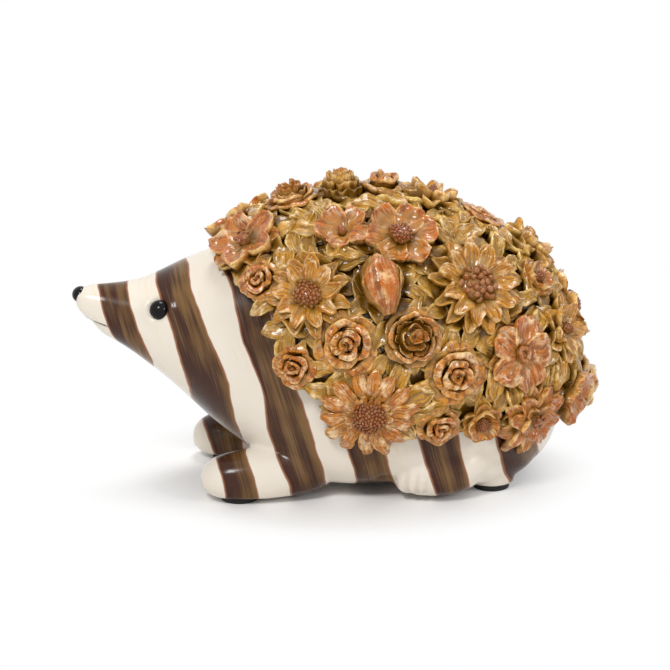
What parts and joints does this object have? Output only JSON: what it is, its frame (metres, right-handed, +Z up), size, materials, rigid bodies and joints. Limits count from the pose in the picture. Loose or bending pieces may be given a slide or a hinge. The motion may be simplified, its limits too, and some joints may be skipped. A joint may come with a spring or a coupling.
{
  "type": "hedgehog figurine",
  "caption": "Hedgehog figurine: a hollow glazed body with eyes and nose, its back covered by a mantle of moulded flowers and leaves, standing on pads.",
  "frame": {"origin": "on the floor under the middle of the figurine's length and width", "axes": "+X towards the tail (the nose points to -X), +Y towards the animal's right side, +Z up"},
  "size_m": [0.2302, 0.1348, 0.1365],
  "materials": {
    "painted_casting": "hand-painted resin under a gloss lacquer, cream with brown bands",
    "mantle": "antiqued resin, grey-tan in the hollows",
    "petal": "antiqued amber resin under a gloss lacquer",
    "leaf": "antiqued olive-gold resin under a gloss lacquer",
    "gloss_black": "gloss black",
    "pad_rubber": "matt black",
    "plug": "matt dark grey"
  },
  "bodies": {
    "root": {"body_shell": "painted_casting", "cosmos_tail": "petal", "flower_mantle": "mantle", "left_aster_shoulder": "petal", "left_button_flank": "petal", "left_button_nape": "petal", "left_button_rump": "petal", "left_button_tail": "petal", "left_cosmos_back": "petal", "left_daisy_flank": "petal", "left_eye": "gloss_black", "left_front_pad": "pad_rubber", "left_leaves": "leaf", "left_lily_front": "petal", "left_lily_haunch": "petal", "left_peony_flank": "petal", "left_primrose_haunch": "petal", "left_rear_pad": "pad_rubber", "left_rose_flank": "petal", "left_rose_shoulder": "petal", "left_rosebud_brow": "petal", "left_rosebud_cheek": "petal", "left_rosebud_flank": "petal", "left_star_rump": "petal", "left_sunflower_back": "petal", "left_tulip_shoulder": "petal", "mum_nape": "petal", "nose": "gloss_black", "peony_crown": "petal", "ridge_leaves": "leaf", "right_aster_shoulder": "petal", "right_button_flank": "petal", "right_button_nape": "petal", "right_button_rump": "petal", "right_button_tail": "petal", "right_cosmos_back": "petal", "right_daisy_flank": "petal", "right_eye": "gloss_black", "right_front_pad": "pad_rubber", "right_leaves": "leaf", "right_lily_front": "petal", "right_lily_haunch": "petal", "right_peony_flank": "petal", "right_primrose_haunch": "petal", "right_rear_pad": "pad_rubber", "right_rose_flank": "petal", "right_rose_shoulder": "petal", "right_rosebud_brow": "petal", "right_rosebud_cheek": "petal", "right_rosebud_flank": "petal", "right_star_rump": "petal", "right_sunflower_back": "petal", "right_tulip_shoulder": "petal", "rose_loin": "petal", "rose_tail": "petal", "rosebud_back": "petal", "star_loin": "petal", "star_tail": "petal", "vent_plug": "plug"}
  },
  "joints": []
}
